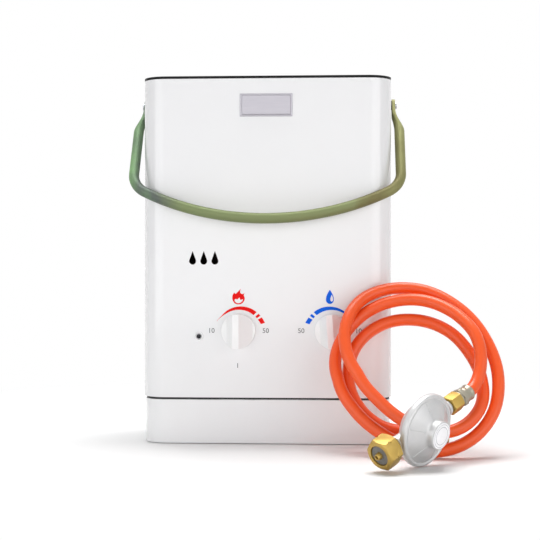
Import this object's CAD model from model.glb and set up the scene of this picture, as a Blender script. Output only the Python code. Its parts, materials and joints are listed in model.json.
import json
from math import asin, atan, cos, pi, radians, sin, sqrt
import bpy
from mathutils import Euler, Matrix, Vector


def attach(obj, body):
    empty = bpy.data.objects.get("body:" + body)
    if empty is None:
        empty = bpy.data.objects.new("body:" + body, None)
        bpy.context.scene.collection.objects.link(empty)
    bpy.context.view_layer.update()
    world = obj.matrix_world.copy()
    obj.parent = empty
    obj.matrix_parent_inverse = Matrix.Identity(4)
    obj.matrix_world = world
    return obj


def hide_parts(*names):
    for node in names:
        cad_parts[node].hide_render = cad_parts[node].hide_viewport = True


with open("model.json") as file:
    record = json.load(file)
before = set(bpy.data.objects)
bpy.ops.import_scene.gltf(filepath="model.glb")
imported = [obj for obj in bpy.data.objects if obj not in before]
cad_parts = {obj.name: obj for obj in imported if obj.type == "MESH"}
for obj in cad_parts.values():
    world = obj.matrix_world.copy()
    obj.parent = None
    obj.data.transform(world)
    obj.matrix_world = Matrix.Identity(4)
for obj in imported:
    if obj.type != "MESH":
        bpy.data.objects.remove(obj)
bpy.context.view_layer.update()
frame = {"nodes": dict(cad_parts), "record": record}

# ----------------------------------------------------------------------
# Camera. The heater was photographed level, from a little to the right of its middle and about
# half way up its front. The case's own middle lies 12.8 mm behind the middle of the whole thing.
MID = 0.0128329
FRONT = MID - 0.0625
CAMERA_X, CAMERA_AWAY, CAMERA_Z = 0.080, 1.5, 0.2129


def nothing_picked():
    if bpy.context.object and bpy.context.object.mode != "OBJECT":
        bpy.ops.object.mode_set(mode="OBJECT")
    bpy.ops.object.select_all(action="DESELECT")


nothing_picked()
bpy.ops.object.camera_add(location=(CAMERA_X, MID - CAMERA_AWAY, CAMERA_Z),
                          rotation=(radians(90), 0, atan(CAMERA_X / CAMERA_AWAY)))
camera = bpy.context.object
camera.data.lens = 83.07
camera.data.sensor_width = 36
camera.data.shift_x = 1 / 540
camera.data.shift_y = -10 / 540
camera.data.clip_start = 0.05
bpy.context.scene.camera = camera

# ----------------------------------------------------------------------
# Gas hose: one length of smooth orange rubber hose, extruded, 14 mm thick. It comes out of its
# crimped sleeve on the regulator and lies in three loose loops that stand in front of the case.
HOSE_R = 0.007
PLANE_LEAN = radians(26.57)
PLANE_Y = -0.1581
LOOP_X = 0.172
LOOP_W = 0.090
# angle round the loops, distance from their middle and in front of their plane, in millimetres
TURNS = [(20, 72, 30), (40, 76, 27), (60, 82, 21), (90, 92, 12), (120, 97.5, 5), (145, 98, 1.5),
         (165, 95.5, 0), (180, 89, 0), (210, 79, 1), (240, 76, 2), (270, 82, 2), (300, 87, 4),
         (330, 88, 5), (360, 86, 7), (390, 87, 8), (420, 96, 6), (450, 109.5, 3), (480, 112.5, 9),
         (500, 102, 18), (520, 86, 19), (540, 68, 18), (570, 55.5, 17), (600, 54.5, 16),
         (630, 62, 16), (660, 72, 14), (690, 73.5, 11), (720, 68, 4), (750, 65.5, 0), (780, 69, -2),
         (810, 73.5, -3), (840, 79, -5), (870, 81, -8), (900, 77, -13), (930, 69, -16),
         (950, 63, -18), (966, 57.5, -19)]
# along the regulator's bar: where the hose ends inside its sleeve, and the sleeve's mouth
SLEEVE_FLOOR = 0.0695
SLEEVE_MOUTH = SLEEVE_FLOOR + 0.016
regulator_place = (Matrix.Translation((0.1655, MID - 0.2134, 0.0407))
                   @ Euler((radians(102.6), radians(-21.2), radians(45)), "XYZ").to_matrix().to_4x4())


def between(a, b, c, d, t):
    """The smooth curve through b and c, t of the way from b to c, with a and d as neighbours."""
    return 0.5 * (2 * b + (c - a) * t + (2 * a - 5 * b + 4 * c - d) * t * t
                  + (3 * b - a - 3 * c + d) * t ** 3)


def loop_point(angle):
    i = 0
    while i < len(TURNS) - 2 and angle > TURNS[i + 1][0]:
        i += 1
    a, b, c, d = (TURNS[max(0, min(len(TURNS) - 1, k))] for k in (i - 1, i, i + 1, i + 2))
    t = (angle - b[0]) / (c[0] - b[0])
    r, n = (between(a[k], b[k], c[k], d[k], t) / 1000 for k in (1, 2))
    w = LOOP_W + r * sin(radians(angle))
    return Vector((LOOP_X + r * cos(radians(angle)),
                   MID + PLANE_Y + w * sin(PLANE_LEAN) - n * cos(PLANE_LEAN),
                   w * cos(PLANE_LEAN) + n * sin(PLANE_LEAN)))


def along_regulator(x):
    return regulator_place @ Vector((x, 0, 0))


outlet_way = (along_regulator(1) - along_regulator(0)).normalized()
hose_start = along_regulator(SLEEVE_FLOOR)
lead = along_regulator(SLEEVE_MOUTH + 0.001)
LEAD_PULL = 0.026
JOIN, LAST, STEP = 40, 966, 4
join = loop_point(JOIN)
join_way = (loop_point(JOIN + 2) - loop_point(JOIN - 2)).normalized()
tail_start = loop_point(LAST)
tail_way = (tail_start - loop_point(LAST - STEP)).normalized()
tail_end = tail_start + (2 * HOSE_R + SLEEVE_MOUTH - SLEEVE_FLOOR) * tail_way
hose_line = [hose_start, (hose_start + lead) / 2]
for i in range(24):
    t = i / 24
    hose_line.append(lead * (1 - t) ** 3 + (lead + LEAD_PULL * outlet_way) * 3 * t * (1 - t) ** 2
                     + (join - LEAD_PULL * join_way) * 3 * t * t * (1 - t) + join * t ** 3)
hose_line += [loop_point(a) for a in range(JOIN, LAST - STEP // 2, STEP)] + [tail_start, tail_end]

nothing_picked()
hose_curve = bpy.data.curves.new("gas_hose_line", "CURVE")
hose_curve.dimensions = "3D"
hose_curve.bevel_depth = HOSE_R - 0.0001
hose_curve.bevel_resolution = 7
hose_curve.use_fill_caps = True
spline = hose_curve.splines.new("POLY")
spline.points.add(len(hose_line) - 1)
for point, place in zip(spline.points, hose_line):
    point.co = (*place, 1)
spline.use_smooth = True
hose = bpy.data.objects.new("rubber_hose", hose_curve)
bpy.context.collection.objects.link(hose)


def fresh_material(name, **sockets):
    """A Principled material with its plain numbers set on the shader's own sockets."""
    made = bpy.data.materials.new(name)
    made.use_nodes = True
    shader = made.node_tree.nodes["Principled BSDF"]
    for socket, value in sockets.items():
        shader.inputs[socket.replace("_", " ")].default_value = value
    return made, made.node_tree.nodes, made.node_tree.links, shader


def paint(red, green, blue):
    """A colour as the eye reads it, 0 to 255, as the light values that the shader wants."""
    return tuple((c / 255 / 12.92 if c < 11 else ((c / 255 + 0.055) / 1.055) ** 2.4)
                 for c in (red, green, blue)) + (1,)


def patchy_group():
    """Soft patches and a fine grain over a surface: Patch and Grain run from 0 to 1."""
    group = bpy.data.node_groups.new("patches_and_grain", "ShaderNodeTree")
    for name, start in (("Patch Size", 0.03), ("Grain Size", 0.0006)):
        socket = group.interface.new_socket(name, in_out="INPUT", socket_type="NodeSocketFloat")
        socket.default_value = start
    socket = group.interface.new_socket("Stretch", in_out="INPUT", socket_type="NodeSocketVector")
    socket.default_value = (1, 1, 1)
    for name in ("Patch", "Grain"):
        group.interface.new_socket(name, in_out="OUTPUT", socket_type="NodeSocketFloat")
    nodes, links = group.nodes, group.links
    entry = nodes.new("NodeGroupInput")
    way_out = nodes.new("NodeGroupOutput")
    place = nodes.new("ShaderNodeTexCoord")
    stretch = nodes.new("ShaderNodeVectorMath")
    stretch.operation = "MULTIPLY"
    links.new(place.outputs["Object"], stretch.inputs[0])
    links.new(entry.outputs["Stretch"], stretch.inputs[1])
    for size, result in (("Patch Size", "Patch"), ("Grain Size", "Grain")):
        turn = nodes.new("ShaderNodeMath")
        turn.operation = "DIVIDE"
        turn.inputs[0].default_value = 1
        links.new(entry.outputs[size], turn.inputs[1])
        noise = nodes.new("ShaderNodeTexNoise")
        noise.inputs["Detail"].default_value = 3
        links.new(stretch.outputs[0], noise.inputs["Vector"])
        links.new(turn.outputs[0], noise.inputs["Scale"])
        spread = nodes.new("ShaderNodeMapRange")
        spread.inputs["From Min"].default_value = 0.3
        spread.inputs["From Max"].default_value = 0.7
        links.new(noise.outputs["Fac"], spread.inputs["Value"])
        links.new(spread.outputs["Result"], way_out.inputs[result])
    return group


patches_and_grain = patchy_group()


def grained(made, cover, rough, dent, depth):
    """Lets the fine grain set the roughness, from low to high, and a slight bump."""
    nodes, links = made.node_tree.nodes, made.node_tree.links
    shader = nodes["Principled BSDF"]
    gloss = nodes.new("ShaderNodeMapRange")
    gloss.inputs["To Min"].default_value, gloss.inputs["To Max"].default_value = rough
    links.new(cover.outputs["Grain"], gloss.inputs["Value"])
    links.new(gloss.outputs["Result"], shader.inputs["Roughness"])
    bump = nodes.new("ShaderNodeBump")
    bump.inputs["Strength"].default_value = dent
    bump.inputs["Distance"].default_value = depth
    links.new(cover.outputs["Grain"], bump.inputs["Height"])
    links.new(bump.outputs["Normal"], shader.inputs["Normal"])
    return made


def worn_finish(name, colour, second, rough, patch=0.03, grain=0.0006, stretch=(1, 1, 1), dent=0.05,
                depth=0.0001, **sockets):
    """One finish: two close colours in soft patches, a roughness from low to high, a fine grain."""
    made, nodes, links, shader = fresh_material(name, **sockets)
    cover = nodes.new("ShaderNodeGroup")
    cover.node_tree = patches_and_grain
    cover.inputs["Patch Size"].default_value = patch
    cover.inputs["Grain Size"].default_value = grain
    cover.inputs["Stretch"].default_value = stretch
    tint = nodes.new("ShaderNodeMix")
    tint.data_type = "RGBA"
    tint.inputs["A"].default_value = colour
    tint.inputs["B"].default_value = second
    links.new(cover.outputs["Patch"], tint.inputs["Factor"])
    links.new(tint.outputs["Result"], shader.inputs["Base Color"])
    return grained(made, cover, rough, dent, depth)


hose_rubber = worn_finish("orange_hose_rubber", paint(243, 90, 27), paint(239, 85, 24), (0.3, 0.4),
                          patch=0.05, grain=0.0012, dent=0.12, depth=0.0002, Specular_IOR_Level=0.5)
hose.data.materials.append(hose_rubber)
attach(hose, "case")
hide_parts("gas_hose")


# ----------------------------------------------------------------------
# Regulator: two die cast zinc shells, a deep dish and a shallow cone with a round bonnet, folded
# together round a rubber diaphragm at the rim. A bare white disc closes the bonnet.
def picked(piece):
    nothing_picked()
    piece.select_set(True)
    bpy.context.view_layer.objects.active = piece
    return piece


def turned(name, profile, sides=96, closed=False):
    """A turned piece about Z: a circle is drawn up through the profile's (radius, height) steps."""
    nothing_picked()
    radius, height = profile[0]
    bpy.ops.mesh.primitive_circle_add(vertices=sides, radius=radius, location=(0, 0, height),
                                      fill_type="NOTHING" if closed else "NGON")
    piece = bpy.context.object
    piece.name = piece.data.name = name
    bpy.ops.object.transform_apply(location=True, rotation=True, scale=True)
    bpy.ops.object.mode_set(mode="EDIT")
    bpy.ops.mesh.select_mode(type="EDGE")
    bpy.ops.mesh.select_all(action="SELECT")
    for new_radius, new_height in profile[1:]:
        bpy.ops.mesh.extrude_edges_move(TRANSFORM_OT_translate={"value": (0, 0, new_height - height)})
        step = new_radius / radius
        bpy.ops.transform.resize(value=(step, step, 1), center_override=(0, 0, new_height))
        radius, height = new_radius, new_height
    if not closed:
        bpy.ops.mesh.edge_face_add()
    bpy.ops.mesh.select_all(action="SELECT")
    bpy.ops.mesh.remove_doubles(threshold=1e-6)
    bpy.ops.mesh.normals_make_consistent(inside=False)
    bpy.ops.object.mode_set(mode="OBJECT")
    return piece


def modified(piece, kind, **settings):
    picked(piece)
    step = piece.modifiers.new(kind.lower(), kind)
    for key, value in settings.items():
        setattr(step, key, value)
    bpy.ops.object.modifier_apply(modifier=step.name)
    return piece


def softened(piece, width, segments=3, angle=30, smooth=35):
    """Breaks the sharp edges, as tumbling or paint does."""
    modified(piece, "BEVEL", width=width, segments=segments, limit_method="ANGLE",
             angle_limit=radians(angle), harden_normals=False)
    picked(piece)
    bpy.ops.object.shade_smooth_by_angle(angle=radians(smooth))
    return piece


def evened(piece):
    """Lets the large faces set the shading, so a flat sheet shines flat right up to its edges."""
    return modified(piece, "WEIGHTED_NORMAL", keep_sharp=True, weight=90)


def placed(piece, place):
    """Moves a piece into place and leaves the place in its mesh."""
    picked(piece)
    piece.matrix_world = place @ piece.matrix_world
    bpy.ops.object.transform_apply(location=True, rotation=True, scale=True)
    return piece


def cut(piece, *tools, how="DIFFERENCE"):
    for tool in tools:
        modified(piece, "BOOLEAN", operation=how, object=tool, solver="EXACT")
        bpy.data.objects.remove(tool, do_unlink=True)
    return piece


def joined(piece, *others):
    nothing_picked()
    for other in others:
        other.select_set(True)
    piece.select_set(True)
    bpy.context.view_layer.objects.active = piece
    bpy.ops.object.join()
    return piece


def fitted(piece, material, slot, body, *nodes):
    """Gives a finished piece its material, its body and the CAD nodes that it stands for."""
    piece.data.materials.clear()
    piece.data.materials.append(material)
    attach(piece, body)
    if nodes:
        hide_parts(*nodes)
    return piece


def bar(name, radius, start, end, sides=64):
    """A round bar along X, from start to end."""
    nothing_picked()
    bpy.ops.mesh.primitive_cylinder_add(vertices=sides, radius=radius, depth=end - start,
                                        location=((start + end) / 2, 0, 0), rotation=(0, radians(90), 0))
    piece = bpy.context.object
    piece.name = piece.data.name = name
    bpy.ops.object.transform_apply(location=True, rotation=True, scale=True)
    return piece


def block(name, middle, size, lean=0.0):
    """A box round its middle, leant about Y."""
    nothing_picked()
    bpy.ops.mesh.primitive_cube_add(size=1, location=middle, rotation=(0, lean, 0))
    piece = bpy.context.object
    piece.name = piece.data.name = name
    piece.scale = size
    bpy.ops.object.transform_apply(location=True, rotation=True, scale=True)
    return piece


cast_zinc = worn_finish("satin_cast_zinc", paint(204, 204, 204), paint(199, 199, 200), (0.38, 0.46),
                        patch=0.012, grain=0.0004, dent=0.04, depth=0.0001, Metallic=0.45,
                        Specular_IOR_Level=0.5)
RIM = 0.0385
dish = turned("regulator_dish", [(0.0075, -0.012), (0.0137, -0.012), (0.0145, -0.0118), (0.0213, -0.0083),
                                 (0.0225, -0.0076), (0.0342, 0.0032), (0.0353, 0.0044), (0.0374, 0.0058),
                                 (0.0375, 0.0065), (0.0375, 0.0095), (0.006, 0.0095)], sides=128)
body_bar = softened(bar("regulator_passage", 0.0075, -0.039, SLEEVE_FLOOR - 0.022), 0.0006)
for end, radius, start, stop in (("outlet", 0.0086, 0.0441, 0.0473), ("inlet", 0.0086, -0.0388, -0.0362)):
    collar = softened(bar("regulator_%s_collar" % end, radius, start, stop), 0.0005)
    joined(body_bar, collar)
outlet_thread = softened(bar("outlet_thread", 0.0064, SLEEVE_FLOOR - 0.023, SLEEVE_FLOOR - 0.012), 0.0003)
joined(dish, body_bar, outlet_thread)
softened(dish, 0.0004, 2, 35)
placed(dish, regulator_place)
fitted(dish, cast_zinc, "cast_alloy", "case", "regulator_body")

bonnet_cover = turned("regulator_bonnet", [
    (0.012, 0.0190), (0.031, 0.0110), (RIM - 0.0009, 0.0105), (RIM - 0.0009, 0.006), (RIM - 0.0004, 0.0059),
    (RIM, 0.0066), (RIM, 0.0109), (RIM - 0.0004, 0.0119), (RIM - 0.0013, 0.0127), (RIM - 0.0024, 0.0131),
    (RIM - 0.0034, 0.0129), (RIM - 0.0041, 0.0121), (RIM - 0.0049, 0.0121), (RIM - 0.0056, 0.0126),
    (0.0240, 0.0171), (0.0172, 0.0203), (0.0156, 0.0212), (0.0149, 0.0223), (0.0148, 0.0234),
    (0.0148, 0.0277), (0.0145, 0.0285), (0.0139, 0.0288), (0.0122, 0.0288), (0.0120, 0.0284),
    (0.012, 0.0190)], sides=160, closed=True)
softened(bonnet_cover, 0.00025, 2, 30, 40)
for i in range(6):
    # a low rib from the bonnet down the cone to the rim
    rib = softened(block("rib", (0.0240, 0, 0.0167), (0.0180, 0.0009, 0.0016), radians(25.6)), 0.0004)
    placed(rib, Matrix.Rotation(radians(30 + 60 * i), 4, "Z"))
    joined(bonnet_cover, rib)
placed(bonnet_cover, regulator_place)
fitted(bonnet_cover, cast_zinc, "cast_alloy", "case", "regulator_cover")

LABEL_R, LABEL_Z = 0.0136, 0.0296
label = turned("bonnet_label", [(0.0115, 0.0225), (0.0115, 0.0284), (0.0132, 0.0288), (0.0137, 0.0290),
                                (0.0137, 0.0294), (0.0133, LABEL_Z)], sides=96)
softened(label, 0.0001, 2, 30)


def label_material():
    """White film with two thin grey rings, as a blank sticker has."""
    made, nodes, links, shader = fresh_material("label_film", Roughness=0.35, Coat_Weight=0.2)
    place = nodes.new("ShaderNodeTexCoord")
    centre = nodes.new("ShaderNodeVectorMath")
    centre.operation = "DISTANCE"
    centre.inputs[1].default_value = regulator_place @ Vector((0, 0, LABEL_Z))
    links.new(place.outputs["Object"], centre.inputs[0])
    rings = nodes.new("ShaderNodeValToRGB")
    rings.color_ramp.interpolation = "LINEAR"
    size = nodes.new("ShaderNodeMath")
    size.operation = "DIVIDE"
    size.inputs[1].default_value = LABEL_R
    links.new(centre.outputs["Value"], size.inputs[0])
    links.new(size.outputs[0], rings.inputs["Fac"])
    white, grey = paint(250, 250, 252), paint(150, 152, 160)
    ramp = rings.color_ramp
    ramp.elements[0].position, ramp.elements[0].color = 0.0, white
    ramp.elements[1].position, ramp.elements[1].color = 0.66, white
    for spot, tone in ((0.67, grey), (0.695, grey), (0.705, white), (0.86, white), (0.87, grey),
                       (0.885, grey), (0.895, white)):
        ramp.elements.new(spot).color = tone
    film = nodes.new("ShaderNodeGroup")
    film.node_tree = patches_and_grain
    film.inputs["Patch Size"].default_value = 0.004
    tint = nodes.new("ShaderNodeMix")
    tint.data_type = "RGBA"
    tint.blend_type = "MULTIPLY"
    tint.inputs["B"].default_value = (0.94, 0.94, 0.95, 1)
    links.new(film.outputs["Patch"], tint.inputs["Factor"])
    links.new(rings.outputs["Color"], tint.inputs["A"])
    links.new(tint.outputs["Result"], shader.inputs["Base Color"])
    return made


placed(label, regulator_place)
fitted(label, label_material(), "label_white", "case", "regulator_cap")

# ----------------------------------------------------------------------
# Brass on the hose: the big bottle nut with its grey seal ring and nipple, and the small union
# nut. Both are turned and milled from hexagon bar, chamfered at both ends, with a lathe's marks.
lathe_brass = worn_finish("turned_brass", paint(184, 155, 84), paint(177, 147, 76), (0.4, 0.5),
                          patch=0.01, grain=0.0009, dent=0.02, depth=0.0001, Metallic=0.8)
seal_rubber = worn_finish("grey_seal_rubber", paint(112, 110, 105), paint(100, 98, 94), (0.5, 0.65),
                          patch=0.004, grain=0.0005, dent=0.2)


def hexagon_nut(name, flats, start, end, bores, rounding=0.0024, notch=None):
    """A hexagon bar along X, its corners turned off at both ends, bored by (radius, from, to)."""
    nothing_picked()
    bpy.ops.mesh.primitive_cylinder_add(vertices=6, radius=flats / 2 / cos(pi / 6), depth=end - start,
                                        location=((start + end) / 2, 0, 0), rotation=(0, radians(90), 0))
    nut = bpy.context.object
    nut.name = nut.data.name = name
    placed(nut, Matrix.Rotation(radians(30), 4, "X"))
    full = flats / 2 + rounding * 1.08
    barrel = turned("barrel", [(flats / 2 - 0.0006, start - 1e-5), (full, start + rounding),
                               (full, end - rounding), (flats / 2 - 0.0006, end + 1e-5)])
    placed(barrel, Matrix.Rotation(radians(90), 4, "Y"))
    # the quarter turn about Y keeps the heights along +X
    cut(nut, barrel, how="INTERSECT")
    for radius, inner, outer in bores:
        cut(nut, bar("bore", radius, inner, outer, 72))
    if notch:
        ring = turned("notch_ring", [(notch[1], notch[0] - notch[2]), (flats, notch[0] - notch[2]),
                                     (flats, notch[0] + notch[2]), (notch[1], notch[0] + notch[2]),
                                     (notch[1], notch[0] - notch[2])], closed=True)
        cut(nut, placed(ring, Matrix.Rotation(radians(90), 4, "Y")))
    return softened(nut, 0.00025, 2, 25, 30)


bottle_nut = hexagon_nut("bottle_nut", 0.030, -0.064, -0.045,
                         [(0.0109, -0.065, -0.0502), (0.00606, -0.051, -0.044)],
                         notch=(-0.0545, 0.0164, 0.0005))
placed(bottle_nut, regulator_place)
fitted(bottle_nut, lathe_brass, "brass", "bottle_nut", "coupling_nut")

seal = turned("bottle_seal", [(0.00365, -0.0626), (0.0040, -0.0627), (0.0101, -0.0627), (0.0106, -0.0622),
                              (0.0106, -0.0602), (0.00365, -0.0602), (0.00365, -0.0626)], closed=True)
placed(softened(seal, 0.0002), regulator_place @ Matrix.Rotation(radians(90), 4, "Y"))
fitted(seal, seal_rubber, "rubber_black", "case", "inlet_seal")

nipple = turned("bottle_nipple", [(0.0016, -0.0672), (0.0021, -0.068), (0.0026, -0.068), (0.0036, -0.0658),
                                  (0.0036, -0.0602), (0.0093, -0.0602), (0.0094, -0.0505), (0.006, -0.0503),
                                  (0.006, -0.039), (0.0016, -0.039), (0.0016, -0.0672)], closed=True)
placed(softened(nipple, 0.0002), regulator_place @ Matrix.Rotation(radians(90), 4, "Y"))
fitted(nipple, lathe_brass, "brass", "case", "inlet_stem")

union_nut = hexagon_nut("regulator_nut", 0.019, SLEEVE_FLOOR - 0.0200, SLEEVE_FLOOR - 0.0033,
                        [(0.00656, SLEEVE_FLOOR - 0.0210, SLEEVE_FLOOR - 0.0100),
                         (0.00506, SLEEVE_FLOOR - 0.0110, SLEEVE_FLOOR - 0.0020)], rounding=0.0016)
placed(union_nut, regulator_place)
fitted(union_nut, lathe_brass, "brass", "regulator_nut", "outlet_nut")

# ----------------------------------------------------------------------
# Hose sleeves: nickel plated steel, pressed on in two waists round the hose's ends, with a short
# hexagon where the tool held them. The far one carries the nut that screws on to the heater.
nickel = worn_finish("nickel_plate", paint(160, 155, 140), paint(154, 149, 134), (0.34, 0.4),
                     patch=0.01, grain=0.0006, dent=0.01, Metallic=0.85)
far_place = (Matrix.Translation(tail_end) @ (-tail_way).to_track_quat("X", "Z").to_matrix().to_4x4()
             @ Matrix.Translation((-SLEEVE_FLOOR, 0, 0)))
# each sleeve as (radius, distance from the hose's end)
SLEEVE = [(0.0050, -0.0110), (0.0050, -0.0030), (0.0087, -0.0029), (0.0089, -0.0025), (0.0089, -0.0013),
          (0.0086, -0.0009), (0.0086, 0.0034), (0.0089, 0.0042), (0.0089, 0.0088), (0.0084, 0.0098),
          (0.0083, 0.0108), (0.0083, 0.0118), (0.0085, 0.0130), (0.0088, 0.0140), (0.0089, 0.0148),
          (0.0089, 0.0156), (0.0087, 0.0160), (0.0071, 0.0160), (0.0071, 0.0002), (0.0025, 0.0002),
          (0.0025, -0.0110), (0.0050, -0.0110)]
GRIP_AT, GRIP_WIDE, GRIP_BORE = SLEEVE_FLOOR + 0.0015, 0.0060, 0.0086
sleeves = []
for name, place in (("regulator_sleeve", regulator_place), ("heater_sleeve", far_place)):
    sleeve = turned(name, [(radius, SLEEVE_FLOOR + x) for radius, x in SLEEVE], sides=72, closed=True)
    placed(sleeve, Matrix.Rotation(radians(90), 4, "Y"))
    nothing_picked()
    bpy.ops.mesh.primitive_cylinder_add(vertices=6, radius=0.0107, depth=GRIP_WIDE,
                                        location=(GRIP_AT, 0, 0), rotation=(0, radians(90), 0))
    grip = bpy.context.object
    bpy.ops.object.transform_apply(location=True, rotation=True, scale=True)
    cut(grip, bar("bore", GRIP_BORE, SLEEVE_FLOOR - 0.010, SLEEVE_FLOOR + 0.010))
    softened(grip, 0.0004, 2)
    joined(sleeve, grip)
    picked(sleeve)
    bpy.ops.object.shade_smooth_by_angle(angle=radians(35))
    placed(sleeve, place)
    sleeves.append(sleeve)
sleeve_pair = joined(*sleeves)
sleeve_pair.name = sleeve_pair.data.name = "hose_sleeves"
fitted(sleeve_pair, nickel, "steel", "case", "hose_ferrules")

far_nut = hexagon_nut("heater_nut", 0.020, SLEEVE_FLOOR - 0.0260, SLEEVE_FLOOR - 0.0040,
                      [(0.00833, SLEEVE_FLOOR - 0.0270, SLEEVE_FLOOR - 0.0112),
                       (0.00506, SLEEVE_FLOOR - 0.0120, SLEEVE_FLOOR - 0.0030)], rounding=0.0016)
placed(far_nut, far_place)
fitted(far_nut, lathe_brass, "brass", "heater_nut", "end_nut")

# ----------------------------------------------------------------------
# Front cover: one sheet of 1 mm steel folded round the front and both sides with wide corners,
# pierced for the knobs and the view holes, and enamelled white. Screwed to the back plate.
enamel = worn_finish("white_enamel", paint(242, 242, 243), paint(239, 239, 241), (0.14, 0.18),
                     patch=0.2, grain=0.004, dent=0.02, depth=0.0001, Coat_Weight=0.6, Coat_Roughness=0.05,
                     Specular_IOR_Level=0.5)
W, DEPTH, CORNER = 0.290, 0.1235, 0.028
COVER_LOW, COVER_TOP = 0.0537, 0.423


def folded_sheet(name, width, depth, low, top, corner, thickness, turned_in=()):
    """A sheet folded to a U in plan, open at the back. turned_in lists (which edge, how far)."""
    back = FRONT + depth
    sheet = block(name, (0, back - depth / 2, (low + top) / 2), (width, depth, top - low))
    bpy.ops.object.mode_set(mode="EDIT")
    bpy.ops.mesh.select_mode(type="FACE")
    bpy.ops.mesh.select_all(action="DESELECT")
    bpy.ops.object.mode_set(mode="OBJECT")
    for face in sheet.data.polygons:
        face.select = abs(face.normal.z) > 0.5 or face.normal.y > 0.5
    bpy.ops.object.mode_set(mode="EDIT")
    bpy.ops.mesh.delete(type="FACE")
    bpy.ops.mesh.select_mode(type="EDGE")
    bpy.ops.mesh.select_all(action="DESELECT")
    bpy.ops.object.mode_set(mode="OBJECT")
    for edge in sheet.data.edges:
        a, b = (sheet.data.vertices[v].co for v in edge.vertices)
        edge.select = abs(a.z - b.z) > 0.01 and a.y < back - depth / 2
    bpy.ops.object.mode_set(mode="EDIT")
    bpy.ops.mesh.bevel(offset=corner, offset_type="OFFSET", segments=28, profile=0.5)
    for level, inward in turned_in:
        bpy.ops.mesh.select_all(action="DESELECT")
        bpy.ops.object.mode_set(mode="OBJECT")
        for edge in sheet.data.edges:
            a, b = (sheet.data.vertices[v].co for v in edge.vertices)
            edge.select = abs(a.z - level) < 1e-5 and abs(b.z - level) < 1e-5
        bpy.ops.object.mode_set(mode="EDIT")
        bpy.ops.mesh.extrude_edges_move(TRANSFORM_OT_translate={"value": (0, 0, 0)})
        bpy.ops.transform.resize(value=(1 - 2 * inward / width, 1 - inward / depth, 1),
                                 center_override=(0, back, level))
    bpy.ops.mesh.select_all(action="SELECT")
    bpy.ops.mesh.normals_make_consistent(inside=False)
    bpy.ops.object.mode_set(mode="OBJECT")
    if sum(p.normal.y * p.area for p in sheet.data.polygons) > 0:
        bpy.ops.object.mode_set(mode="EDIT")
        bpy.ops.mesh.flip_normals()
        bpy.ops.object.mode_set(mode="OBJECT")
    modified(sheet, "SOLIDIFY", thickness=thickness, offset=-1, use_even_offset=True)
    return sheet


def peg(x, z, radius, start, end, sides=48):
    """A round tool along Y for boring the front, from start to end in front of and behind it."""
    return placed(bar("peg", radius, start, end, sides),
                  Matrix.Translation((x, FRONT, z)) @ Matrix.Rotation(radians(90), 4, "Z"))


GAS_X, WATER_X, KNOB_Z = -0.032, 0.076, 0.131
DROP_R, DROP_TALL, DROP_Z = 0.004, 0.0118, 0.2116
SCREW_X, SCREW_Z = -0.078, 0.1245
cover = folded_sheet("front_cover_sheet", W, DEPTH, COVER_LOW, COVER_TOP, CORNER, 0.001)
for x in (-0.0854, -0.0724, -0.0594):
    # a round peg whose upper part is drawn up to a point, along the lines that touch its circle
    drop = peg(x, DROP_Z, DROP_R, -0.004, 0.004, 48)
    side, shoulder = DROP_R * sqrt(1 - (DROP_R / DROP_TALL) ** 2), DROP_R * DROP_R / DROP_TALL
    for corner in drop.data.vertices:
        across, up = corner.co.x - x, corner.co.z - DROP_Z
        if up > shoulder - 1e-5:
            corner.co.z = DROP_Z + DROP_TALL - (DROP_TALL - shoulder) * min(1, abs(across) / side)
    cut(cover, drop)
for x in (GAS_X, WATER_X):
    cut(cover, peg(x, KNOB_Z, 0.006, -0.004, 0.004))
cut(cover, peg(SCREW_X, SCREW_Z, 0.0022, -0.004, 0.004, 24))
cut(cover, placed(bar("pivot_tool", 0.0026, -0.16, 0.16, 24), Matrix.Translation((0, MID + 0.008, 0.399))))
for side in (-1, 1):
    joined(cover, block("lip", (side * (W / 2 - 0.0075), FRONT + DEPTH - 0.0005, (COVER_LOW + COVER_TOP) / 2),
                        (0.013, 0.001, COVER_TOP - COVER_LOW)))
evened(softened(cover, 0.0004, 2, 40, 30))
fitted(cover, enamel, "enamel_white", "case", "front_cover")

# ----------------------------------------------------------------------
# Base cover: a second folded sheet in the same enamel, set in a little under a black seam strip,
# with its edges turned in: the lower one stands on the floor, the upper one is screwed up.
skirt = folded_sheet("base_cover_sheet", W - 0.003, 0.1225, 0.0006, 0.0511, CORNER - 0.0015, 0.0012,
                     ((0.0006, 0.008), (0.0511, 0.0065)))
placed(skirt, Matrix.Translation((0, 0.0015, 0)))
evened(softened(skirt, 0.0003, 2, 40, 30))
fitted(skirt, enamel, "enamel_white", "case", "base_cover")

# ----------------------------------------------------------------------
# Printed dials: screen printed in red for gas and blue for water, each a crescent that grows
# with the setting and two blocks, with a flame or a drop above it and small grey numbers.
PRINT_LIFT = 0.00006


def ink(name, colour):
    return worn_finish(name, paint(*colour), paint(*(max(0, c - 6) for c in colour)), (0.5, 0.6),
                       patch=0.02, grain=0.0008, dent=0.03, Specular_IOR_Level=0.15)


inks = {"red": ink("red_ink", (240, 14, 10)), "blue": ink("blue_ink", (8, 104, 236)),
        "grey": ink("grey_ink", (112, 112, 114))}


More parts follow.
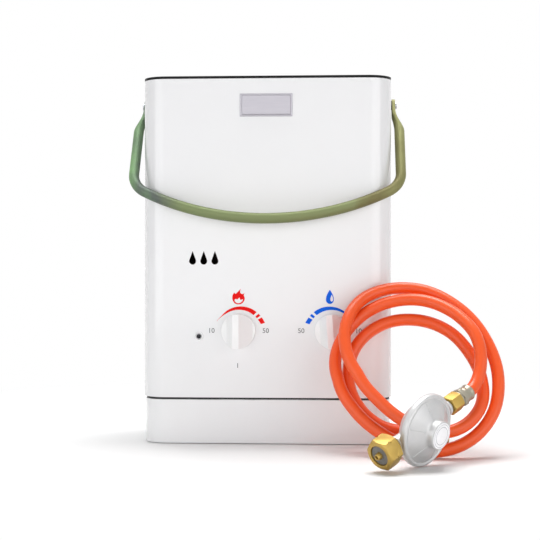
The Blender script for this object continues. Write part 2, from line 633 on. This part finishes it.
def printed(name, outlines, colour):
    """A flat print on the front: each outline is (x, z) in metres, and an inner one is a hole."""
    nothing_picked()
    drawing = bpy.data.curves.new(name, "CURVE")
    drawing.dimensions = "2D"
    drawing.fill_mode = "BOTH"
    for outline in outlines:
        line = drawing.splines.new("POLY")
        line.points.add(len(outline) - 1)
        for spot, (x, z) in zip(line.points, outline):
            spot.co = (x, z, 0, 1)
        line.use_cyclic_u = True
    piece = bpy.data.objects.new(name, drawing)
    bpy.context.collection.objects.link(piece)
    picked(piece)
    bpy.ops.object.convert(target="MESH")
    piece = bpy.context.object
    placed(piece, Matrix.Translation((0, FRONT - PRINT_LIFT, 0)) @ Matrix.Rotation(radians(90), 4, "X"))
    return fitted(piece, inks[colour], "enamel_white", "case")


def ring_piece(x, hand, rows, steps=12):
    """Part of a ring round a knob, through rows of (angle, inner radius, outer radius) in mm."""
    near, far = [], []
    for i in range(len(rows) - 1):
        around = [rows[max(0, min(len(rows) - 1, k))] for k in (i - 1, i, i + 1, i + 2)]
        for j in range(steps + (i == len(rows) - 2)):
            angle, r, s = (between(*(row[k] for row in around), j / steps) for k in (0, 1, 2))
            near.append((x + hand * r / 1000 * cos(radians(angle)), KNOB_Z + r / 1000 * sin(radians(angle))))
            far.append((x + hand * s / 1000 * cos(radians(angle)), KNOB_Z + s / 1000 * sin(radians(angle))))
    return near + far[::-1]


def bowl(cx, cz, points, size, smooth):
    """A closed rounded outline through points, as a French curve draws it."""
    out, n = [], len(points)
    for i in range(n):
        a, b, c, d = (points[(i + k) % n] for k in (-1, 0, 1, 2))
        for j in range(smooth):
            t = j / smooth
            x, z = (between(a[k], b[k], c[k], d[k], t) for k in (0, 1))
            out.append((cx + size * x, cz + size * z))
    return out


def drop_outline(cx, cz, width, height, steps=40):
    out = []
    for i in range(steps):
        a = 2 * pi * i / steps
        up = (1 - cos(a)) / 2
        out.append((cx + width / 2 * sin(a) * sin(a / 2) ** 1.1, cz + height / 2 - height * up))
    return out


for x, hand, colour in ((GAS_X, 1, "red"), (WATER_X, -1, "blue")):
    printed("%s_dial" % colour,
            [ring_piece(x, hand, [(157, 27.6, 27.7), (140, 25.5, 26.3), (122, 24.4, 26.8), (90, 24.3, 28.1),
                                  (66, 24.7, 29.3), (46, 25.2, 30.2)]),
             ring_piece(x, hand, [(40.4, 25.6, 30.6), (34.4, 25.7, 30.8)], 4),
             ring_piece(x, hand, [(30.2, 25.8, 31.1), (16.8, 27.0, 32.0)], 6)], colour)
FLAME_Z = 0.1706
flame = bowl(GAS_X, FLAME_Z, [
    (2.8, 9.1), (2.6, 8.9), (1.8, 5.7), (2.3, 4.2), (3.8, 3.0), (5.6, 3.2), (7.0, 4.1), (7.1, 4.0),
    (6.2, 2.0), (6.4, 0.5), (7.1, -1.2), (7.2, -2.8), (6.3, -5.4), (4.5, -7.6), (2.2, -8.8), (0.0, -9.1),
    (-2.5, -8.7), (-4.9, -7.2), (-6.6, -4.7), (-7.2, -1.8), (-7.0, 0.9), (-6.1, 3.1), (-4.9, 4.7),
    (-4.8, 4.6), (-4.3, 3.7), (-3.1, 3.3), (-1.4, 4.9), (0.8, 7.1)], 0.001, 3)
flame_heart = bowl(GAS_X, FLAME_Z, [
    (0.8, -1.3), (1.5, -1.8), (1.6, -2.8), (2.3, -3.7), (3.8, -3.6), (5.0, -3.0), (4.9, -4.6), (3.4, -6.3),
    (1.5, -7.4), (-0.3, -7.7), (-2.5, -7.2), (-4.0, -5.9), (-4.5, -4.6), (-4.1, -3.2), (-3.1, -2.8),
    (-1.8, -3.4), (-0.6, -2.8), (0.3, -1.8)], 0.001, 3)[::-1]
printed("gas_flame", [flame, flame_heart], "red")
printed("water_drop", [drop_outline(0.0736, 0.1705, 0.0122, 0.0165),
                       drop_outline(0.0757, 0.1690, 0.0042, 0.0078)[::-1]], "blue")


def number(words, x, z, height):
    nothing_picked()
    bpy.ops.object.text_add(location=(x, FRONT - PRINT_LIFT, z), rotation=(radians(90), 0, 0))
    text = bpy.context.object
    text.data.body = words
    text.data.align_x = text.data.align_y = "CENTER"
    text.data.size = height
    text.data.offset = 0.00004
    bpy.ops.object.convert(target="MESH")
    piece = bpy.context.object
    piece.name = "number_%s_%d" % (words, round(x * 1000) + 500)
    bpy.ops.object.transform_apply(location=True, rotation=True, scale=True)
    fitted(piece, inks["grey"], "enamel_white", "case")


BELOW = 0.0905
for words, x, z in (("10", -0.0635, KNOB_Z), ("50", -0.0005, KNOB_Z), ("1", -0.033, BELOW),
                    ("50", 0.0405, KNOB_Z), ("10", 0.1065, KNOB_Z), ("2", 0.075, BELOW)):
    number(words, x, z, 0.0078)

# ----------------------------------------------------------------------
# Badge: a pressed aluminium plate with a raised bare field, glued to the top of the front.
badge_metal = worn_finish("badge_aluminium", paint(182, 179, 186), paint(177, 174, 182), (0.32, 0.4),
                          patch=0.02, grain=0.0003, stretch=(1, 1, 12), dent=0.05, Metallic=0.5)
BADGE_W, BADGE_H, BADGE_T, BADGE_Z = 0.061, 0.0267, 0.0009, 0.392
badge = block("badge", (0, FRONT - BADGE_T / 2, BADGE_Z), (BADGE_W, BADGE_T, BADGE_H))
bpy.ops.object.mode_set(mode="EDIT")
bpy.ops.mesh.select_mode(type="FACE")
bpy.ops.mesh.select_all(action="DESELECT")
bpy.ops.object.mode_set(mode="OBJECT")
for face in badge.data.polygons:
    face.select = face.normal.y < -0.5
bpy.ops.object.mode_set(mode="EDIT")
bpy.ops.mesh.inset(thickness=0.0011)
bpy.ops.mesh.inset(thickness=0.0004, depth=-0.0003)
bpy.ops.mesh.inset(thickness=0.0006, depth=0.0)
bpy.ops.mesh.inset(thickness=0.0007, depth=0.0012)
bpy.ops.object.mode_set(mode="OBJECT")
evened(softened(badge, 0.0003, 3, 20))
fitted(badge, badge_metal, "badge_silver", "case", "badge_plate")

# ----------------------------------------------------------------------
# Handle: one 12 mm steel tube, bowed and bent, its ends pressed flat and drilled for the pivot
# screws. Zinc plated and passivated, which leaves a yellow green film with patches of colour.
PIVOT = Vector((0, MID + 0.008, 0.399))
TUBE_R, GRIP_R, BEND_R, ARM_X, HANDLE_LEN = 0.006, 0.283, 0.030, 0.1558, 0.1663
BOW_MID = HANDLE_LEN - GRIP_R
BEND_MID = BOW_MID + sqrt((GRIP_R - BEND_R) ** 2 - (ARM_X - BEND_R) ** 2)
BOW_HALF = asin((ARM_X - BEND_R) / (GRIP_R - BEND_R))
# the pressed ends: where a tab lies, half its thickness and width, and the run that it grows out of
TAB_X, TAB_HALF, TAB_WIDE = 0.1475, 0.002, 0.0075
PRESS_FROM, PRESS_TO = 0.012, 0.040
# the grip rests 0.3 mm off the front, and off the case's corner where that starts to turn
REST_REACH = CORNER + TUBE_R + 0.0003
CORNER_FROM = W / 2 - CORNER


def rest_line(x):
    return FRONT - MID + CORNER - (REST_REACH if x <= CORNER_FROM
                                   else sqrt(REST_REACH ** 2 - (x - CORNER_FROM) ** 2))


LEAN = max(asin((0.008 - rest_line(x / 1000)) / (BOW_MID + sqrt(GRIP_R ** 2 - (x / 1000) ** 2)))
           for x in range(0, int(1000 * GRIP_R * sin(BOW_HALF)) + 1))
line = []
for z in [TAB_WIDE - 0.0015 * i for i in range(0, 11)] + [-0.0085 - 0.0021 * i for i in range(1, 16)]:
    line.append((ARM_X, -z))
for i in range(1, 30):
    s = PRESS_TO + (BEND_MID - PRESS_TO) * i / 30
    line.append((ARM_X, s))
for i in range(0, 25):
    a = (pi / 2 - BOW_HALF) * i / 24
    line.append((ARM_X - BEND_R + BEND_R * cos(a), BEND_MID + BEND_R * sin(a)))
for i in range(1, 41):
    a = BOW_HALF * (1 - i / 40)
    line.append((GRIP_R * sin(a), BOW_MID + GRIP_R * cos(a)))
line = line + [(-x, s) for x, s in line[-2::-1]]
bail_curve = bpy.data.curves.new("bail_line", "CURVE")
bail_curve.dimensions = "3D"
bail_curve.bevel_depth = TUBE_R
bail_curve.bevel_resolution = 8
bail_curve.use_fill_caps = True
bail_spline = bail_curve.splines.new("POLY")
bail_spline.points.add(len(line) - 1)
for point, (x, s) in zip(bail_spline.points, line):
    point.co = (x, 0, -s, 1)
bail = bpy.data.objects.new("bail", bail_curve)
bpy.context.collection.objects.link(bail)
picked(bail)
bpy.ops.object.convert(target="MESH")
bail = bpy.context.object
for corner in bail.data.vertices:
    # the press flattens each end to a tab and sets it in towards the case
    s = -corner.co.z
    if s < PRESS_TO:
        side = 1 if corner.co.x > 0 else -1
        t = max(0.0, min(1.0, (s - PRESS_FROM) / (PRESS_TO - PRESS_FROM)))
        t = t * t * (3 - 2 * t)
        across, deep = side * corner.co.x - ARM_X, corner.co.y
        flat_x = max(-TAB_HALF, min(TAB_HALF, across * 1.6))
        half = TAB_WIDE if s > 0 else sqrt(max(0.0, TAB_WIDE ** 2 - s * s))
        flat_y = deep / TUBE_R * half
        corner.co.x = side * ((TAB_X + TAB_HALF + flat_x) * (1 - t) + (ARM_X + across) * t)
        corner.co.y = flat_y * (1 - t) + deep * t
cut(bail, bar("pivot_tool", 0.00256, -0.17, 0.17, 32))
softened(bail, 0.00035, 2, 45, 40)
placed(bail, Matrix.Translation(PIVOT) @ Matrix.Rotation(-LEAN, 4, "X"))


def passivated_zinc():
    made, nodes, links, shader = fresh_material("passivated_zinc", Metallic=0.5, Coat_Weight=0.05,
                                                Coat_Roughness=0.3)
    cloud = nodes.new("ShaderNodeGroup")
    cloud.node_tree = patches_and_grain
    cloud.inputs["Patch Size"].default_value = 0.06
    cloud.inputs["Grain Size"].default_value = 0.0007
    # the film drains from the left end to the right one while it dries, so its tint drifts along
    place = nodes.new("ShaderNodeTexCoord")
    split = nodes.new("ShaderNodeSeparateXYZ")
    links.new(place.outputs["Object"], split.inputs[0])
    drift = nodes.new("ShaderNodeMapRange")
    drift.inputs["From Min"].default_value = -0.16
    drift.inputs["From Max"].default_value = 0.16
    links.new(split.outputs["X"], drift.inputs["Value"])
    depth = nodes.new("ShaderNodeMix")
    depth.inputs["Factor"].default_value = 0.12
    links.new(drift.outputs["Result"], depth.inputs["A"])
    links.new(cloud.outputs["Patch"], depth.inputs["B"])
    film = nodes.new("ShaderNodeValToRGB")
    ramp = film.color_ramp
    ramp.elements[0].position, ramp.elements[0].color = 0.0, paint(130, 170, 116)
    ramp.elements[1].position, ramp.elements[1].color = 1.0, paint(150, 152, 102)
    for spot, tone in ((0.1, (88, 96, 90)), (0.22, (120, 132, 90)), (0.8, (124, 131, 88)),
                       (0.86, (112, 106, 66)), (0.93, (134, 134, 86))):
        ramp.elements.new(spot).color = paint(*tone)
    links.new(depth.outputs["Result"], film.inputs["Fac"])
    links.new(film.outputs["Color"], shader.inputs["Base Color"])
    return grained(made, cloud, (0.5, 0.6), 0.08, 0.0001)


fitted(bail, passivated_zinc(), "yellow_zinc", "handle", "carry_handle")

# ----------------------------------------------------------------------
# Knobs: moulded in white plastic, a low skirt with a grip ridge across it, steep on one side
# and easy on the other. Each is pushed on to a brass spindle.
knob_plastic = worn_finish("white_knob_plastic", paint(250, 250, 250), paint(247, 247, 248), (0.28, 0.36),
                           patch=0.03, grain=0.0006, dent=0.06, Coat_Weight=0.2)
KNOB_R, KNOB_OUT = 0.01975, 0.021
for name, x, turn, body in (("gas_knob", GAS_X, 0, "gas_control"),
                            ("water_knob", WATER_X, -4, "water_control")):
    skirt_ring = turned("%s_skirt" % name, [(0.016, 0.0005), (KNOB_R - 0.0003, 0.0005), (KNOB_R, 0.0008),
                                            (KNOB_R, 0.0050), (KNOB_R - 0.0005, 0.0055)], sides=128)
    placed(skirt_ring, Matrix.Rotation(radians(90), 4, "X"))
    ridge = turned("%s_ridge" % name, [(KNOB_R, 0.002), (KNOB_R, KNOB_OUT)], sides=160)
    placed(ridge, Matrix.Rotation(radians(90), 4, "X"))
    for foot, top in ((-0.0134, -0.0056), (0.0163, 0.0016)):
        low, high = Vector((foot, -0.0055, 0)), Vector((top, -KNOB_OUT, 0))
        slope = high - low
        out = Vector((slope.y, -slope.x, 0)).normalized()
        if out.x * foot < 0:
            out.negate()
        picked(ridge)
        bpy.ops.object.mode_set(mode="EDIT")
        bpy.ops.mesh.select_all(action="SELECT")
        bpy.ops.mesh.bisect(plane_co=low, plane_no=out, clear_outer=True, use_fill=True)
        bpy.ops.object.mode_set(mode="OBJECT")
    evened(softened(ridge, 0.0009, 4, 25, 40))
    softened(skirt_ring, 0.0003, 2, 40, 35)
    knob = joined(skirt_ring, ridge)
    knob.name = knob.data.name = "%s_cap" % name
    placed(knob, Matrix.Translation((x, FRONT, KNOB_Z)) @ Matrix.Rotation(radians(turn), 4, "Y"))
    fitted(knob, knob_plastic, "plastic_white", body, name)

# ----------------------------------------------------------------------
# Cover screw: a dark plated pan head with a slot, in a pressed steel cup washer painted white.
dark_plate = worn_finish("dark_zinc", paint(46, 46, 49), paint(38, 38, 41), (0.3, 0.4), patch=0.002,
                         grain=0.0004, dent=0.1, Metallic=0.9)
cup = turned("screw_cup_ring", [(0.00165, 0.0), (0.0054, 0.0), (0.0054, 0.0004), (0.0050, 0.0011),
                                (0.0043, 0.0016), (0.0038, 0.0015), (0.0033, 0.0008), (0.0030, 0.0004),
                                (0.00165, 0.0004), (0.00165, 0.0)], sides=72, closed=True)
picked(cup)
bpy.ops.object.shade_smooth_by_angle(angle=radians(50))
placed(cup, Matrix.Translation((SCREW_X, FRONT, SCREW_Z)) @ Matrix.Rotation(radians(90), 4, "X"))
fitted(cup, enamel, "enamel_white", "case", "screw_cup")
head = turned("screw_head", [(0.0015, -0.010), (0.0015, 0.0004), (0.0026, 0.0004), (0.0026, 0.0015),
                             (0.0021, 0.0021), (0.0012, 0.0022)], sides=48)
cut(head, block("slot_tool", (0, 0, 0.0021), (0.0054, 0.0008, 0.0014)))
softened(head, 0.00012, 2, 35)
placed(head, Matrix.Translation((SCREW_X, FRONT, SCREW_Z)) @ Matrix.Rotation(radians(90), 4, "X"))
fitted(head, dark_plate, "dark_steel", "case", "cover_screw")

# ----------------------------------------------------------------------
# The rest of the heater keeps its CAD solids: top grille, back, seam, screws, burner, exchanger,
# valves, pipes, battery box. Each gets the finish of its real material.
black_paint = worn_finish("satin_black_paint", paint(7, 7, 8), paint(5, 5, 6), (0.45, 0.55), patch=0.05,
                          grain=0.0006, dent=0.12, Specular_IOR_Level=0.2)
zinc_sheet = worn_finish("galvanized_sheet", paint(178, 182, 186), paint(150, 155, 160), (0.3, 0.48),
                         patch=0.012, grain=0.0008, dent=0.05, Metallic=0.9)
bright_zinc = worn_finish("bright_zinc", paint(190, 192, 196), paint(170, 173, 180), (0.24, 0.36),
                          patch=0.006, grain=0.0005, dent=0.06, Metallic=1.0)
black_rubber = worn_finish("black_rubber", paint(30, 30, 30), paint(22, 22, 22), (0.6, 0.75), patch=0.01,
                           grain=0.0005, dent=0.2)
black_plastic = worn_finish("black_plastic", paint(36, 36, 38), paint(28, 28, 30), (0.42, 0.55), patch=0.03,
                            grain=0.0004, dent=0.18)
copper = worn_finish("copper_sheet", paint(214, 140, 104), paint(176, 104, 74), (0.25, 0.45), patch=0.03,
                     grain=0.001, dent=0.05, Metallic=1.0)
cast_alloy = worn_finish("cast_alloy", paint(188, 189, 190), paint(172, 173, 175), (0.38, 0.5), patch=0.01,
                         grain=0.0006, dent=0.25, Metallic=0.85)
glazed = worn_finish("glazed_ceramic", paint(238, 234, 222), paint(228, 222, 208), (0.15, 0.25), patch=0.01,
                     grain=0.0005, dent=0.05)
cell_jacket = worn_finish("cell_jacket", paint(190, 120, 40), paint(60, 56, 54), (0.25, 0.35), patch=0.06,
                          grain=0.001, stretch=(0.2, 1, 0.2), dent=0.03, Metallic=0.4)
sooty_copper = worn_finish("heat_darkened_copper", paint(74, 50, 42), paint(48, 38, 36), (0.5, 0.7),
                           patch=0.03, grain=0.001, dent=0.05, Metallic=0.5)
finishes = {
    "black_paint": black_paint, "zinc_sheet": zinc_sheet, "steel": bright_zinc, "dark_steel": dark_plate,
    "rubber_black": black_rubber, "plastic_black": black_plastic, "plastic_white": knob_plastic,
    "brass": lathe_brass, "copper": copper, "cast_alloy": cast_alloy, "ceramic": glazed,
    "cell_wrap": cell_jacket, "enamel_white": enamel, "badge_silver": badge_metal,
    "label_white": label.data.materials[0], "hose_orange": hose_rubber, "yellow_zinc": bail.data.materials[0]}
slot_of = {part["node"]: part["material_slot"] for part in frame["record"]["subparts"]}
for node, solid in frame["nodes"].items():
    if not solid.material_slots:
        solid.data.materials.append(None)
    for place in solid.material_slots:
        place.material = sooty_copper if node == "combustion_chamber" else finishes[slot_of[node]]

# ----------------------------------------------------------------------
# Studio: white paper on the floor that runs on into a white surround, a broad soft light overhead
# and three low ones in front. The paper keeps the heater's soft shadow and is plain white far off.
nothing_picked()
bpy.ops.mesh.primitive_plane_add(size=30, location=(0, 0, -0.0002))
floor = bpy.context.object
floor.name = "studio_floor"
paper, nodes, links, shader = fresh_material("white_paper", Roughness=0.9, Specular_IOR_Level=0.0)
shader.inputs["Base Color"].default_value = (0.9, 0.9, 0.9, 1)


def math_node(tree, how, *inputs):
    node = tree.nodes.new("ShaderNodeMath")
    node.operation = how
    for socket, value in zip(node.inputs, inputs):
        if isinstance(value, float):
            socket.default_value = value
        else:
            tree.links.new(value, socket)
    return node.outputs[0]


def seen_directly(tree):
    """1 for what the camera sees, straight, mirrored or through glass, and 0 for light on its way."""
    path = tree.nodes.new("ShaderNodeLightPath")
    mirrored = math_node(tree, "MAXIMUM", path.outputs["Is Camera Ray"], path.outputs["Is Glossy Ray"])
    return math_node(tree, "MAXIMUM", mirrored, path.outputs["Is Transmission Ray"])


seen = seen_directly(paper.node_tree)
place = nodes.new("ShaderNodeTexCoord")
distance = nodes.new("ShaderNodeVectorMath")
distance.operation = "LENGTH"
links.new(place.outputs["Object"], distance.inputs[0])
fade = nodes.new("ShaderNodeMapRange")
fade.interpolation_type = "SMOOTHSTEP"
fade.inputs["From Min"].default_value = 0.32
fade.inputs["From Max"].default_value = 0.7
links.new(distance.outputs["Value"], fade.inputs["Value"])
far_paper = nodes.new("ShaderNodeEmission")
paper_mix = nodes.new("ShaderNodeMixShader")
links.new(math_node(paper.node_tree, "MULTIPLY", seen, fade.outputs["Result"]), paper_mix.inputs["Fac"])
links.new(shader.outputs[0], paper_mix.inputs[1])
links.new(far_paper.outputs[0], paper_mix.inputs[2])
links.new(paper_mix.outputs[0], nodes["Material Output"].inputs["Surface"])
floor.data.materials.append(paper)

world = bpy.data.worlds.new("studio")
bpy.context.scene.world = world
world.use_nodes = True
nodes, links = world.node_tree.nodes, world.node_tree.links
surround = nodes["Background"]
surround.inputs["Color"].default_value = (1, 1, 1, 1)
surround.inputs["Strength"].default_value = 0.24
backdrop = nodes.new("ShaderNodeBackground")
backdrop.inputs["Color"].default_value = (1, 1, 1, 1)
choose = nodes.new("ShaderNodeMixShader")
links.new(seen_directly(world.node_tree), choose.inputs["Fac"])
links.new(surround.outputs[0], choose.inputs[1])
links.new(backdrop.outputs[0], choose.inputs[2])
links.new(choose.outputs[0], nodes["World Output"].inputs["Surface"])


def soft_light(name, place, aim, width, height, power):
    nothing_picked()
    bpy.ops.object.light_add(type="AREA", location=place)
    light = bpy.context.object
    light.name = name
    light.data.shape = "RECTANGLE"
    light.data.size, light.data.size_y = width, height
    light.data.energy = power
    light.rotation_euler = (Vector(aim) - Vector(place)).to_track_quat("-Z", "Y").to_euler()


soft_light("top_light", (0.0, 0.25, 1.8), (0, 0.1, 0), 1.3, 1.0, 38)
soft_light("left_light", (-1.7, -1.9, 0.5), (0, 0, 0.2), 1.8, 1.4, 13)
soft_light("right_light", (1.8, -1.8, 0.5), (0, 0, 0.2), 1.8, 1.4, 14)
soft_light("front_fill", (0.15, -2.6, 0.66), (0.15, 0, 0.66), 2.4, 1.3, 9.7)

bpy.context.scene.view_settings.view_transform = "Standard"
